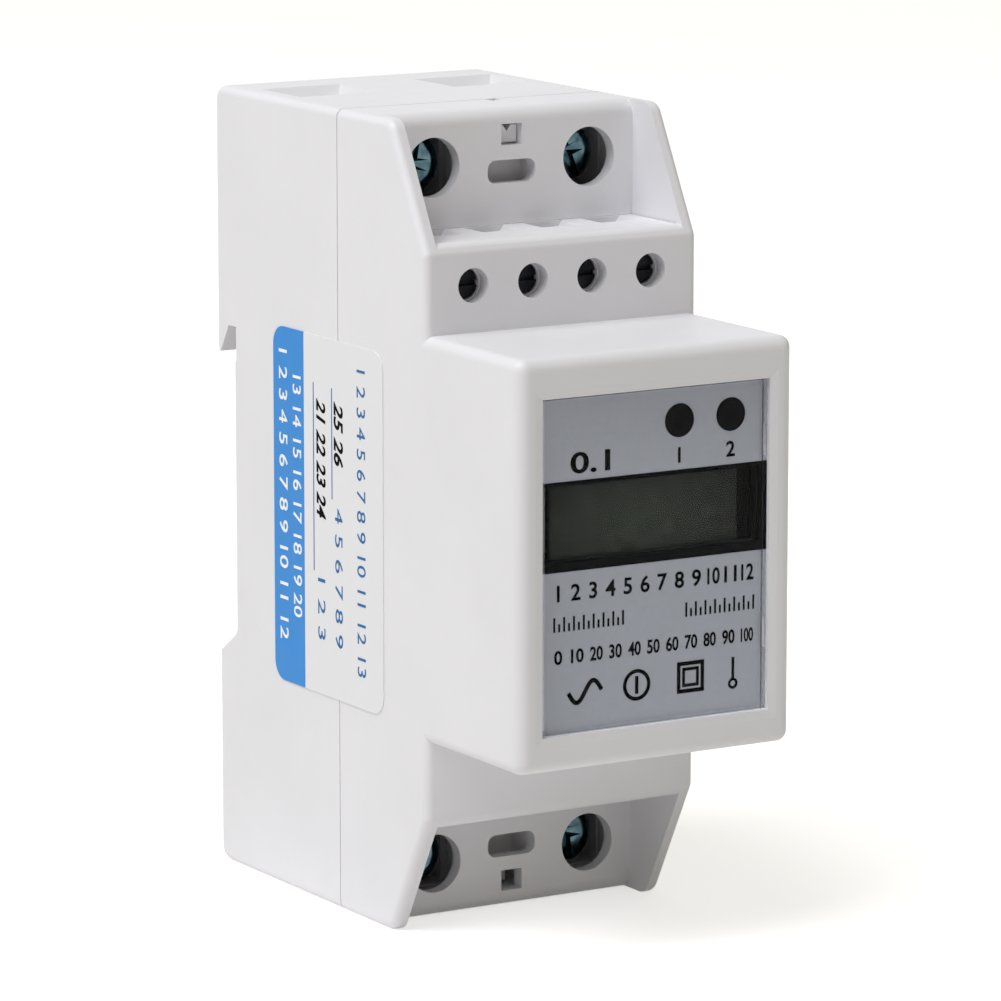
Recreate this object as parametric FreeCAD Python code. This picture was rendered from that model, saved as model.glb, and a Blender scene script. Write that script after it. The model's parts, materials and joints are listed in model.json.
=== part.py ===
import FreeCAD, Part
import math
import os

# A two-module, single-phase energy meter for a 35 mm top-hat rail.
# Frame: X across the meter, +Y towards the rail and the wall behind it, +Z up.
# The origin lies on the seat that rests on the rail, at mid width and on the rail's centre line.
# All sizes are millimetres.

# How far a cutting shape runs beyond the face that it opens, and a fused shape into its neighbour
past = 1.0
sink = 0.1

# Outside of the housing
housing_width = 35.0
nose_height = 45.2
ledge_rise = 9.95
terminal_height = 12.95
foot_depth = 4.6
parting_depth = 24.0
parting_gap = 0.14
wing_corner_rise = 3.3
wing_heel = 1.1

# Walls and outer radii
base_wall = 1.8
cover_wall = 1.66
foot_corner_radius = 1.6
wing_corner_radius = 2.0
wing_heel_radius = 1.0
edge_radius = 0.9
nose_edge_radius = 1.5
nose_side_radius = 1.2
sill_radius = 1.4
lip_height = 1.4
lip_thickness = 0.7
fit_gap = 0.15

# Rail and its notch
rail_width = 35.0
rail_thickness = 1.0
rail_play = 0.36
groove_play = 0.54
groove_mouth = 3.5
groove_floor = 1.5
seat_relief = 0.25
hook_lip = 3.14
seat_end_drop = 4.04
heel_slope_end = 0.36
heel_slope_drop = 2.84
heel_radius = 1.5
heel_back_radius = 0.6
hook_slope = 0.15

# Rail clip and its spring
clip_width = 14.0
clip_back_width = 10.0
clip_plate = 1.7
clip_play = 0.15
clip_floor_step = 0.2
clip_foot_recess = 0.2
clip_tail_gap = 0.9
clip_travel = 4.0
clip_shoulder_drop = 0.6
clip_window_width = 3.8
clip_window_margin = 6.6
clip_slot = (5.0, 2.0)
clip_slot_inset = 1.2
jaw_rise = 1.6
jaw_chamfer = (0.7, 0.3)
jaw_slope = 3.2
jaw_relief_side = 0.4
jaw_relief_drop = 1.5
nub_height = 1.5
nub_side_gap = 0.3
nub_stop_gap = 0.1
nub_recess = 0.4
nub_root = 0.5
spring_radius = 1.2
spring_wire = 0.5
spring_turns = 6
spring_closed = 6.4

# Main terminals: rising cage, captive screw and tongue
screw_inset = 6.1
screw_face_gap = 3.14
screw_access_radius = 3.35
screw_head_radius = 3.5
screw_head_height = 2.6
screw_head_edge = 0.5
screw_head_gap = 0.5
screw_shank_radius = 2.45
screw_tip_chamfer = 0.6
screw_tip_gap = 0.3
screw_reach = 2.2
thread_clearance = 0.05
driver_slot = (1.1, 1.3)
driver_cross = (4.4, 1.8)
cage_play = 0.3
cage_floor_gap = 1.2
cage_height = 8.2
cage_side = 1.4
cage_front_wall = 3.2
cage_corner = 1.0
cage_travel = 6.0
cage_closed_gap = 1.2
cage_tooth = (0.8, 0.4)
cage_tooth_pitch = 2.2
tongue_thickness = 1.3
tongue_side_gap = 0.45
tongue_end_gap = 0.4
tongue_passage_gap = 0.2
shunt_length = 14.0
pillar_size = (4.0, 2.0)
pillar_rise = 0.96
pocket_width = 6.4
chamber_wall = 1.2

# Wire funnels in the top and the bottom
funnel_mouth = (10.2, 9.1)
funnel_throat = (7.4, 6.6)
funnel_mouth_depth = 7.1

# Openings in the terminal face
slot_size = (6.2, 2.6)
slot_radius = 1.04
slot_inset = 7.1
hook_window = (2.7, 2.4)
hook_window_inset = 3.0
snap_width = 2.5
snap_thickness = 1.9
snap_barb = (1.5, 0.5)
snap_tip_gaps = (1.1, 3.5)
snap_catch_drops = (2.3, 1.7)
snap_rib = (1.4, 4.8)
snap_root = (1.0, 6.0)
snap_notch = (1.0, 0.7, 1.5)
pry_notch = (1.3, 1.7, 0.45)
pry_notch_x = 2.2

# Auxiliary terminals on the upper ledge
aux_count = 4
aux_end_margin = 0.44
aux_middle_drop = 0.225
aux_access_radius = 1.93
aux_block_height = 9.05
aux_board_gap = 1.8
aux_block_gap = 0.2
aux_block_drop = 0.03
aux_cell_wall = 1.6
aux_block_wall = 1.2
aux_block_front_wall = 0.9
aux_block_back_wall = 0.6
aux_bore_gap = 0.1
aux_mouth = (5.1, 4.1)
aux_throat = (3.2, 2.5)
aux_mouth_offset = 0.7
aux_head_radius = 1.7
aux_head_height = 1.3
aux_head_drop = 0.3
aux_head_gap = 0.2
aux_shank_radius = 1.15
aux_driver_slot = (0.55, 0.7)
aux_cage_play = 0.2
aux_cage_back_gap = 0.14
aux_cage_height = 5.0
aux_cage_side = 0.8
aux_cage_front = 1.3
aux_cage_back = 0.9
aux_cage_travel = 2.0
aux_closed_gap = 0.7
aux_pin_thickness = 0.7
aux_pin_side_gap = 0.4
aux_pin_gap = 0.2
aux_pin_inset = 0.4
aux_pin_drop = 0.9
aux_pin_tail = 0.7

# Window and the face behind it
window_side_margin = 3.05
window_top_margin = 4.44
window_bottom_margin = 3.95
window_bevel = 1.0
window_bevel_depth = 0.2
window_thickness = 1.6
window_setback = 0.3
window_rim = 1.1
rim_thickness = 0.8
ring_width = 1.3
pane_chamfer = 0.15
window_lug = 0.7
lug_length = 3.4
lug_thickness = 1.0
lug_insets = (6.86, 8.65)
label_thickness = 0.4
label_gap = 0.1
panel_side_gap = 0.25
panel_end_gap = 0.1
display_plate = 1.0
lcd_window_inset = 0.6
lcd_window_height = 8.4
lcd_drop = 13.9
lcd_thickness = 1.8
lcd_margin = (0.6, 1.7)
lcd_gap = 0.1
bezel_wall = 0.7
frame_leg_inset = 5.45
frame_leg_rise = 5.5
frame_leg_radius = 1.5
led_inset = 4.1
led_pitch = 6.61
led_drop = 3.67
led_radius = 1.5
led_flange = (0.35, 1.0)
led_hole_gap = 0.2
led_tip_gap = 0.1

# Boards and what they carry
board_thickness = 1.6
board_spacing = 25.9
board_margin = 0.45
zebra_height = 0.9
zebra_width = 1.1
zebra_end_gap = 0.5
main_board_depth = 27.8
board_rib = (1.5, 3.0)
board_rib_height = 22.5
boss_radius = 2.0
boss_inset = (2.5, 2.1)
boss_pilot_radius = 1.2
small_screw_radius = 1.15
small_screw_head = (1.9, 1.1)
small_screw_hole = 1.25
header_pin_count = 6
header_pitch = 2.54
header_inset = 3.34
header_body = 2.5
header_pin_width = 0.64
header_hole_radius = 0.55
pin_stand = 0.8
pin_hole_gap = 0.05
sense_pin_radius = 0.5
sense_pin_offset = 2.0
film_capacitor_size = (9.0, 14.5, 18.0)
film_capacitor_z = -9.5
film_capacitor_gap = 0.6
film_capacitor_edge = 0.8
supply_row_inset = 1.55
can_z = -13.0
can_radius = 4.0
can_length = 12.0
can_crimp = (2.6, 0.7, 0.35)
can_edge = 0.6
varistor_z = 2.5
varistor_radius = 4.5
varistor_thickness = 3.6
varistor_edge = 1.2
varistor_rise = 2.0
lead_radius = 0.4
chip_lead = (0.45, 0.9)
chip_stand = 0.15
metering_chip_place = (0.0, 6.0)
metering_chip_size = (10.2, 6.2, 1.9)
metering_chip_lead_count = 8
metering_chip_lead_pitch = 1.27
optocoupler_places = ((-3.6, -8.0), (3.6, -8.0))
optocoupler_size = (4.6, 6.4, 3.4)
optocoupler_lead_count = 2
optocoupler_lead_pitch = 2.54
crystal_z = -17.0
crystal_size = (10.8, 4.4, 3.4)
crystal_radius = 2.15

# Sticker on the left side
sticker_size = (24.9, 40.9)
sticker_centre = (-21.75, -0.85)
sticker_radius = 2.2
sticker_thickness = 0.12

# Width and height, worked out from the sizes above: 35 mm by 91 mm
half_width = housing_width / 2
nose_half = nose_height / 2
ledge_height = nose_half + ledge_rise
half_height = ledge_height + terminal_height
base_inner_x = half_width - base_wall
base_inner_z = half_height - base_wall
cover_inner_x = half_width - cover_wall
cover_inner_z = half_height - cover_wall
chamber_ceiling = ledge_height - cover_wall
notch_bottom = rail_width / 2 + rail_play
groove_top = rail_width / 2 + groove_play
hook_bottom = groove_top - hook_lip
seat_top = groove_top - seat_end_drop
slope_foot = notch_bottom + heel_slope_drop
pillar_height = groove_top + pillar_rise
heel_slope_depth = foot_depth - heel_slope_end
clip_floor = rail_thickness - clip_floor_step
clip_low = -half_height + clip_tail_gap
clip_window_low = clip_low + clip_window_margin
nub_low = clip_window_low + nub_stop_gap
nub_top = nub_low + nub_height
clip_window_high = nub_top + spring_closed + clip_travel

# Depths through the main terminals, from the rail seat to the terminal face
cage_back_inner = base_wall + cage_floor_gap + cage_side
tongue_back = cage_back_inner + cage_travel + cage_closed_gap
tongue_depth = tongue_back + tongue_thickness
screw_tip = tongue_depth + screw_tip_gap
cage_front_inner = screw_tip + screw_reach
cage_front_outer = cage_front_inner + cage_front_wall
screw_head_back = cage_front_outer + cage_travel + screw_head_gap
screw_head_front = screw_head_back + screw_head_height
terminal_depth = screw_head_front + screw_face_gap + cover_wall
wing_corner_depth = terminal_depth + wing_corner_rise

# Places across the main terminals
pocket_half = pocket_width / 2
terminal_room = base_inner_x - pocket_half - chamber_wall
screw_x = pocket_half + chamber_wall + terminal_room / 2
screw_z = half_height - screw_inset
cage_width = terminal_room - 2 * cage_play
tongue_width = cage_width - 2 * (cage_side + tongue_side_gap)
tongue_end = base_inner_z - tongue_end_gap
supply_row_x = screw_x - supply_row_inset
snap_low = half_height - hook_window_inset - snap_thickness / 2
snap_tips = [terminal_depth - gap for gap in snap_tip_gaps]
snap_catches = [tip - drop for tip, drop in zip(snap_tips, snap_catch_drops)]

# Depths through the auxiliary terminals, from the main board to the ledge
main_board_front = main_board_depth + board_thickness
aux_block_back = main_board_front + aux_board_gap
aux_cage_back_outer = aux_block_back + aux_block_back_wall + aux_cage_back_gap
aux_cage_back_inner = aux_cage_back_outer + aux_cage_back
aux_pin_back = aux_cage_back_inner + aux_cage_travel + aux_closed_gap
aux_pin_front = aux_pin_back + aux_pin_thickness
aux_cage_front_inner = aux_pin_front + aux_pin_gap
aux_cage_front_outer = aux_cage_front_inner + aux_cage_front
aux_head_back = aux_cage_front_outer + aux_cage_travel + aux_head_gap
aux_head_front = aux_head_back + aux_head_height
aux_block_front = aux_head_front + aux_head_drop
ledge_depth = aux_block_front + aux_block_gap + cover_wall

# Places across the auxiliary terminals
aux_block_top = ledge_height - aux_block_drop
aux_block_bottom = aux_block_top - aux_block_height
aux_block_half = cover_inner_x - aux_block_gap
aux_height = (aux_block_top + aux_block_bottom) / 2 - aux_middle_drop
aux_pitch = 2 * (aux_block_half - aux_end_margin) / aux_count
aux_cell_width = aux_pitch - aux_cell_wall
aux_cage_width = aux_cell_width - 2 * aux_cage_play
aux_pin_width = aux_cage_width - 2 * (aux_cage_side + aux_pin_side_gap)
aux_pin_low = aux_block_bottom - aux_pin_drop - aux_pin_thickness / 2
aux_xs = [(i - (aux_count - 1) / 2) * aux_pitch for i in range(aux_count)]

# Depths from the display board to the front of the nose
display_board_back = main_board_front + board_spacing
display_board_front = display_board_back + board_thickness
lcd_back = display_board_front + zebra_height
lcd_front = lcd_back + lcd_thickness
plate_back = lcd_front + lcd_gap
plate_front = plate_back + display_plate
label_front = plate_front + label_thickness
pane_back = label_front + label_gap
frame_back = plate_front - rim_thickness
pane_front = pane_back + window_thickness
nose_depth = pane_front + window_setback

# Places on the nose's face
window_width = housing_width - 2 * window_side_margin
window_top = nose_half - window_top_margin
window_bottom = nose_half - window_bottom_margin
lug_heights = (window_top - lug_insets[0], lug_insets[1] - window_bottom)
lcd_window = (window_width - 2 * lcd_window_inset, lcd_window_height)
lcd_centre = window_top - lcd_drop
led_height = window_top - led_drop
led_xs = (window_width / 2 - led_inset - led_pitch, window_width / 2 - led_inset)
frame_leg_x = window_width / 2 - frame_leg_inset
header_height = nose_half - cover_wall - header_inset
terminals = [(sx, sz) for sz in (1, -1) for sx in (-1, 1)]


def vec(x, y, z):
    return FreeCAD.Vector(x, y, z)


def box(x, y, z):
    """A block between two corners; each argument is a (low, high) pair."""
    return Part.makeBox(x[1] - x[0], y[1] - y[0], z[1] - z[0], vec(x[0], y[0], z[0]))


def centred(middle, size):
    return (middle - size / 2, middle + size / 2)


def prism_x(outline, x):
    """A (y, z) outline of points, drawn out along X."""
    wire = Part.makePolygon([vec(x[0], y, z) for y, z in outline + outline[:1]])
    return Part.Face(wire).extrude(vec(x[1] - x[0], 0, 0))


def cylinder_y(x, z, radius, y):
    return Part.makeCylinder(radius, y[1] - y[0], vec(x, y[0], z), vec(0, 1, 0))


def edges_where(shape, test):
    """The edges whose two ends and middle all pass the test."""
    found = []
    for edge in shape.Edges:
        points = [v.Point for v in edge.Vertexes]
        middle = edge.valueAt((edge.FirstParameter + edge.LastParameter) / 2)
        if all(test(p) for p in points + [middle]):
            found.append(edge)
    return found


def near(value, target):
    return abs(value - target) < 1e-4


def rounded_y(x, z, radius, y):
    """A block along Y whose four long edges are rounded."""
    block = box(x, y, z)
    return block.makeFillet(radius, [e for e in block.Edges if near(abs(e.tangentAt(0).y), 1)])


def rounded_x(y, z, radius, x):
    """A block along X whose four long edges are rounded."""
    block = box(x, y, z)
    return block.makeFillet(radius, [e for e in block.Edges if near(abs(e.tangentAt(0).x), 1)])


def rounded_z(x, y, radius, z):
    """A block along Z whose four long edges are rounded."""
    block = box(x, y, z)
    return block.makeFillet(radius, [e for e in block.Edges if near(abs(e.tangentAt(0).z), 1)])


def closed(corners):
    """The closed outline through some corners."""
    return Part.makePolygon(corners + corners[:1])


def funnel_z(x, y, mouth, throat, z_mouth, z_throat, throat_y):
    """A tapering four-sided hole along Z."""
    ends = []
    for size, middle, height in ((mouth, y, z_mouth), (throat, throat_y, z_throat)):
        x0, x1 = centred(x, size[0])
        y0, y1 = centred(middle, size[1])
        ends.append(closed([vec(x0, y0, height), vec(x1, y0, height),
                            vec(x1, y1, height), vec(x0, y1, height)]))
    return Part.makeLoft(ends, True, True)


def both_sides(shape):
    """The shape and its mirror image across the middle plane x = 0."""
    return [shape, shape.mirror(vec(0, 0, 0), vec(1, 0, 0))]


def flipped(shape):
    """The shape turned into its mirror image across the plane z = 0."""
    return shape.mirror(vec(0, 0, 0), vec(0, 0, 1))


def top_and_bottom(shapes):
    """The shapes and their mirror images across the plane z = 0."""
    return shapes + [flipped(s) for s in shapes]


def wire_funnel(sx, sz):
    """The tapered way in for a wire, through the base's end wall to the middle of the cage's gap."""
    return funnel_z(sx * screw_x, -funnel_mouth_depth, funnel_mouth, funnel_throat,
                    sz * half_height, sz * base_inner_z, -(tongue_back + cage_back_inner) / 2)


def base_outline():
    """Side view of the base: top, fixed hook, groove, rail seat, sloped heel and bottom."""
    return [
        (-parting_depth, half_height), (foot_depth, half_height),
        (foot_depth, hook_bottom), (groove_mouth, hook_bottom - hook_slope),
        (groove_floor, groove_top), (-seat_relief, groove_top),
        (-seat_relief, seat_top + seat_relief), (0, seat_top),
        (0, -notch_bottom), (heel_slope_depth, -slope_foot),
        (foot_depth, -slope_foot - (foot_depth - heel_slope_depth)),
        (foot_depth, -half_height), (-parting_depth, -half_height),
    ]


def base_block():
    """The base as a solid block, with its outer edges rounded."""
    block = prism_x(base_outline(), (-half_width, half_width))
    corners = edges_where(block, lambda p: near(p.y, foot_depth) and near(abs(p.z), half_height))
    block = block.makeFillet(foot_corner_radius, corners)
    heel = edges_where(block, lambda p: near(p.y, heel_slope_depth) and near(p.z, -slope_foot))
    block = block.makeFillet(heel_back_radius, heel)
    toe = edges_where(block, lambda p: near(p.y, 0) and near(p.z, -notch_bottom))
    block = block.makeFillet(heel_radius, toe)

    def outer_edge(p):
        on_side = near(abs(p.x), half_width)
        on_back = abs(p.z) > half_height - foot_corner_radius - 1e-3
        on_foot = near(p.y, foot_depth) and p.z > hook_bottom - 1e-3
        return on_side and (on_back or on_foot)

    edges = [e for e in edges_where(block, outer_edge)
             if not all(near(v.Point.y, -parting_depth) for v in e.Vertexes)]
    return block.makeFillet(edge_radius, edges)


def clip_channel():
    """T-shaped slot in the back of the base, open behind and below, for the rail clip."""
    shoulder = clip_floor + clip_plate + 2 * clip_play
    z = (-half_height - past, -notch_bottom + past)
    wide = box(centred(0, clip_width + 2 * clip_play), (clip_floor, shoulder), z)
    narrow = box(centred(0, clip_back_width + 2 * clip_play), (clip_floor, foot_depth + past), z)
    return wide.fuse(narrow)


def spring_seat():
    """The nub in the clip's window that the spring pushes against."""
    return box(centred(0, clip_window_width - 2 * nub_side_gap),
               (clip_floor - nub_root, foot_depth - nub_recess), (nub_low, nub_top))


def snap_arm(tip, catch):
    """A flexible arm of the base, shown at the top, with a barb that holds a rib of the cover."""
    high = snap_low + snap_thickness
    root_start, root_end = (-parting_depth + depth for depth in snap_root)
    root = box(centred(0, pocket_width), (root_start, root_end), (snap_low, base_inner_z + sink))
    arm = box(centred(0, snap_width), (-tip, root_end), (snap_low, high))
    wide, deep, long = snap_notch
    front = -tip - past
    notch = Part.Face(closed([vec(-wide, front, high + deep), vec(wide, front, high + deep),
                              vec(0, front, high - deep)])).extrude(vec(0, past + long, 0))
    run, drop = snap_barb
    barb = prism_x([(-catch - run, snap_low), (-catch, snap_low - drop), (-catch, snap_low)],
                   centred(0, snap_width))
    return root.fuse(arm).fuse(barb).cut(notch)


def snap_rib_block(catch):
    """The cover's rib behind the barb, between the two chamber walls."""
    thick, tall = snap_rib
    front = -catch + fit_gap
    high = snap_low - fit_gap
    return box(centred(0, pocket_width + 2 * sink), (front, front + thick), (high - tall, high))


def base_housing():
    """The moulded rear half: rail seat, fixed hook, terminal chambers and the lip that joins the cover."""
    shell = base_block()
    inner_x = (-base_inner_x, base_inner_x)
    foot_inner = foot_depth - base_wall
    side_pocket = (clip_width / 2 + clip_play + base_wall, base_inner_x)
    foot_y = (-base_wall - past, foot_inner)
    hollows = [
        box(inner_x, (-parting_depth - past, -base_wall), (-base_inner_z, base_inner_z)),
        box(inner_x, foot_y, (groove_top + base_wall, base_inner_z)),
    ] + both_sides(box(side_pocket, foot_y, (-base_inner_z, -slope_foot - base_wall)))
    shell = shell.cut(hollows)

    depth = (-parting_depth, foot_inner)
    partition = box((-base_inner_x - sink, base_inner_x + sink), depth, (chamber_ceiling, ledge_height))
    side_wall = box((pocket_half, pocket_half + chamber_wall), depth,
                    (ledge_height - sink, base_inner_z + sink))
    pillar = box(centred(screw_x, pillar_size[0]), (-tongue_back, -base_wall + sink),
                 centred(pillar_height, pillar_size[1]))
    rib = box((base_inner_x - board_rib[0], base_inner_x + sink), (-main_board_depth, -base_wall + sink),
              centred(board_rib_height, board_rib[1]))
    parts = top_and_bottom([partition] + both_sides(side_wall) + both_sides(pillar) + both_sides(rib))
    lip = box(centred(0, 2 * (base_inner_x + lip_thickness)),
              (-parting_depth - lip_height, -parting_depth + sink),
              centred(0, 2 * (base_inner_z + lip_thickness)))
    lip = lip.cut(box(inner_x, (-parting_depth - lip_height - past, 0), (-base_inner_z, base_inner_z)))
    shell = shell.fuse(parts + [lip])

    passage = box(centred(screw_x, tongue_width + 2 * tongue_passage_gap),
                  (-parting_depth - lip_height - past, -tongue_back + sink),
                  (chamber_ceiling - past, ledge_height + past))
    cuts = top_and_bottom(both_sides(passage)) + [wire_funnel(sx, sz) for sx, sz in terminals]
    jaw_relief = box(centred(0, clip_width + 2 * jaw_relief_side), (-seat_relief, clip_floor + sink),
                     (-notch_bottom - jaw_relief_drop, -seat_top))
    shell = shell.cut(cuts + [clip_channel(), jaw_relief])
    arms = [snap_arm(tip, catch) for tip, catch in zip(snap_tips, snap_catches)]
    shell = shell.fuse([spring_seat(), arms[0], flipped(arms[1])])
    return shell.removeSplitter()


def cover_slab():
    """The cover without its nose: flat front, slanted wings, rounded side edges."""
    back = -parting_depth - parting_gap
    heel = ledge_height - wing_heel
    outline = [(back, half_height), (-wing_corner_depth, half_height), (-ledge_depth, heel),
               (-ledge_depth, -heel), (-wing_corner_depth, -half_height), (back, -half_height)]
    slab = prism_x(outline, (-half_width, half_width))
    tops = edges_where(slab, lambda p: near(p.y, -wing_corner_depth) and near(abs(p.z), half_height))
    slab = slab.makeFillet(wing_corner_radius, tops)
    heels = edges_where(slab, lambda p: near(p.y, -ledge_depth) and near(abs(p.z), heel))
    slab = slab.makeFillet(wing_heel_radius, heels)
    sides = [e for e in edges_where(slab, lambda p: near(abs(p.x), half_width))
             if not all(near(v.Point.y, back) for v in e.Vertexes)]
    return slab.makeFillet(edge_radius, sides)


def cover_nose():
    """The block that stands through the distribution board's front plate."""
    nose = box((-half_width, half_width), (-nose_depth, -terminal_depth), (-nose_half, nose_half))
    nose = nose.makeFillet(nose_side_radius, [e for e in nose.Edges if near(abs(e.tangentAt(0).y), 1)])
    front = edges_where(nose, lambda p: near(p.y, -nose_depth))
    return nose.makeFillet(nose_edge_radius, front)


def recess_cutter():
    """Clears the space between the upper wings, leaving the sill and the top edge rounded."""
    x = -cover_inner_x
    face, sill, top = -terminal_depth, ledge_height, half_height
    r1, r2 = nose_edge_radius, sill_radius
    front, out = -ledge_depth, -nose_depth
    turn = math.sqrt(0.5)

    def line(a, b):
        return Part.LineSegment(vec(x, *a), vec(x, *b)).toShape()

    def arc(a, m, b):
        return Part.Arc(vec(x, *a), vec(x, *m), vec(x, *b)).toShape()

    top_mid = (face + r1 - r1 * turn, top - r1 + r1 * turn)
    sill_mid = (front + r2 - r2 * turn, sill - r2 + r2 * turn)
    wire = Part.Wire([
        line((face, sill), (face, top - r1)),
        arc((face, top - r1), top_mid, (face + r1, top)),
        line((face + r1, top), (face + r1, top + past)),
        line((face + r1, top + past), (out, top + past)),
        line((out, top + past), (out, sill - r2)),
        line((out, sill - r2), (front, sill - r2)),
        arc((front, sill - r2), sill_mid, (front + r2, sill)),
        line((front + r2, sill), (face, sill)),
    ])
    return Part.Face(wire).extrude(vec(2 * cover_inner_x, 0, 0))


def window_opening():
    """The bevelled opening for the window, with a rim above and below and slots for its lugs."""
    half = window_width / 2
    ends = []
    for grow, y in ((window_bevel, -nose_depth), (0, -nose_depth + window_bevel_depth)):
        x0, x1 = -half - grow, half + grow
        z0, z1 = -window_bottom - grow, window_top + grow
        ends.append(closed([vec(x0, y, z0), vec(x1, y, z0), vec(x1, y, z1), vec(x0, y, z1)]))
    bevel = Part.makeLoft(ends, True, True)
    pocket = box((-half, half), (-nose_depth, -plate_front), (-window_bottom, window_top))
    through = box((-half, half), (-plate_front - past, -frame_back + past),
                  (-window_bottom + window_rim, window_top - window_rim))
    reach = half + window_lug + fit_gap
    slot_y = (-pane_back - lug_thickness - fit_gap, -pane_back + fit_gap)
    slots = [box((-reach, reach), slot_y, centred(z, lug_length + fit_gap)) for z in lug_heights]
    return [bevel, pocket, through] + slots


def terminal_face_openings():
    """Screw holes, the rounded slot and the small square window of one terminal face."""
    depth = (-terminal_depth - past, -terminal_depth + cover_wall + past)
    slot_z = half_height - slot_inset
    hook_z = half_height - hook_window_inset
    holes = both_sides(cylinder_y(screw_x, screw_z, screw_access_radius, depth))
    slot = rounded_y(centred(0, slot_size[0]), centred(slot_z, slot_size[1]), slot_radius, depth)
    hook = box(centred(0, hook_window[0]), depth, centred(hook_z, hook_window[1]))
    return holes + [slot, hook]


def boss_places():
    """Where the four bosses for the display board stand."""
    x = cover_inner_x - boss_inset[0]
    z = nose_half - cover_wall - boss_inset[1]
    return [(sx * x, sz * z) for sx, sz in terminals]


def front_cover():
    """The moulded front half: wings, terminal faces, ledges and the nose with its window opening."""
    shell = cover_slab().fuse(cover_nose())
    shell = shell.cut(top_and_bottom([recess_cutter()]))
    x = (-cover_inner_x, cover_inner_x)
    back = -parting_depth + past
    chamber = box(x, (-terminal_depth + cover_wall, back), (ledge_height, cover_inner_z))
    hollows = top_and_bottom([chamber]) + [
        box(x, (-ledge_depth + cover_wall, back), (-chamber_ceiling, chamber_ceiling)),
        box(x, (-nose_depth + cover_wall, -ledge_depth + cover_wall + past),
            centred(0, nose_height - 2 * cover_wall)),
    ]
    shell = shell.cut(hollows)

    lip_front = -parting_depth - lip_height - fit_gap
    side_wall = box((pocket_half, pocket_half + chamber_wall),
                    (-terminal_depth + cover_wall - sink, lip_front),
                    (ledge_height - sink, cover_inner_z + sink))
    ring = box((-cover_inner_x - sink, cover_inner_x + sink), (-nose_depth + cover_wall - sink, -frame_back),
               (-window_bottom - ring_width, window_top + ring_width))
    bosses = [cylinder_y(bx, bz, boss_radius, (-frame_back - sink, -display_board_front))
              for bx, bz in boss_places()]
    ribs = [snap_rib_block(snap_catches[0]), flipped(snap_rib_block(snap_catches[1]))]
    shell = shell.fuse(top_and_bottom(both_sides(side_wall)) + bosses + [ring] + ribs)

    rebate = box(centred(0, 2 * (base_inner_x + lip_thickness + fit_gap)), (lip_front, back),
                 centred(0, 2 * (base_inner_z + lip_thickness + fit_gap)))
    core = box(centred(0, 2 * (base_inner_x - fit_gap)), (lip_front - past, back + past),
               centred(0, 2 * (base_inner_z - fit_gap)))
    block_room = box(x, (-ledge_depth + cover_wall, -aux_block_back + sink),
                     (chamber_ceiling - past, ledge_height))
    wide, deep, low = pry_notch
    pry = box(centred(pry_notch_x, wide), (-parting_depth - deep, back),
              (half_height - low, half_height + past))
    wall = (-ledge_depth - past, -ledge_depth + cover_wall + past)
    cuts = [rebate.cut(core), block_room, pry] + window_opening() + top_and_bottom(terminal_face_openings())
    cuts += [cylinder_y(ax, aux_height, aux_access_radius, wall) for ax in aux_xs]
    cuts += [cylinder_y(bx, bz, boss_pilot_radius, (-frame_back + sink, -display_board_front + past))
             for bx, bz in boss_places()]
    return shell.cut(cuts).removeSplitter()


def window():
    """Clear pane with four side lugs that snap into the cover."""
    half = window_width / 2 - fit_gap
    pane = box((-half, half), (-pane_front, -pane_back), (-window_bottom + fit_gap, window_top - fit_gap))
    front = edges_where(pane, lambda p: near(p.y, -pane_front))
    pane = pane.makeChamfer(pane_chamfer, front)
    reach = window_width / 2 + window_lug
    lugs = [box((-reach, reach), (-pane_back - lug_thickness, -pane_back), centred(z, lug_length))
            for z in lug_heights]
    return pane.fuse(lugs).removeSplitter()


def panel(front, back, inset):
    """A plate as wide as the window, less its clearance, and shorter by an inset at both ends."""
    return box(centred(0, window_width - 2 * panel_side_gap), (-front, -back),
               (-window_bottom + inset, window_top - inset))


def display_cutter(front, back, inset):
    """The hole that shows the display, cut through a plate between two depths."""
    return box(centred(0, lcd_window[0] - 2 * inset), (-front - past, -back + past),
               centred(lcd_centre, lcd_window[1] - 2 * inset))


def face_label():
    """The printed panel on the rims behind the window, cut out for the display."""
    plate = panel(label_front, plate_front, panel_end_gap)
    return plate.cut(display_cutter(label_front, plate_front, 0))


def lcd_outline():
    """Width and height of the display glass."""
    return [seen + 2 * margin for seen, margin in zip(lcd_window, lcd_margin)]


def display_frame():
    """Black carrier that backs the label and holds the display against its board."""
    glass_x, glass_z = lcd_outline()
    depth = (-plate_back - sink, -display_board_front)
    skirt = box(centred(0, glass_x + 2 * bezel_wall), depth, centred(lcd_centre, glass_z + 2 * bezel_wall))
    room = box(centred(0, glass_x + 2 * lcd_gap), (-plate_back, -display_board_front + past),
               centred(lcd_centre, glass_z + 2 * lcd_gap))
    leg = cylinder_y(frame_leg_x, -window_bottom + frame_leg_rise, frame_leg_radius, depth)
    holes = [cylinder_y(lx, led_height, led_radius + led_hole_gap, (-plate_front - past, -plate_back + past))
             for lx in led_xs]
    plate = panel(plate_front, plate_back, window_rim + panel_end_gap)
    frame = plate.fuse([skirt.cut(room)] + both_sides(leg))
    return frame.cut([display_cutter(plate_front, plate_back, lcd_gap)] + holes).removeSplitter()


def lcd_panel():
    glass_x, glass_z = lcd_outline()
    return box(centred(0, glass_x), (-lcd_front, -lcd_back), centred(lcd_centre, glass_z))


def zebra_strip(sign):
    """Striped rubber contact between the display glass and its board."""
    glass_x, glass_z = lcd_outline()
    z = lcd_centre + sign * (glass_z / 2 - zebra_width / 2 - lcd_gap)
    return box(centred(0, glass_x - 2 * zebra_end_gap), (-lcd_back, -display_board_front),
               centred(z, zebra_width))


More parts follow.
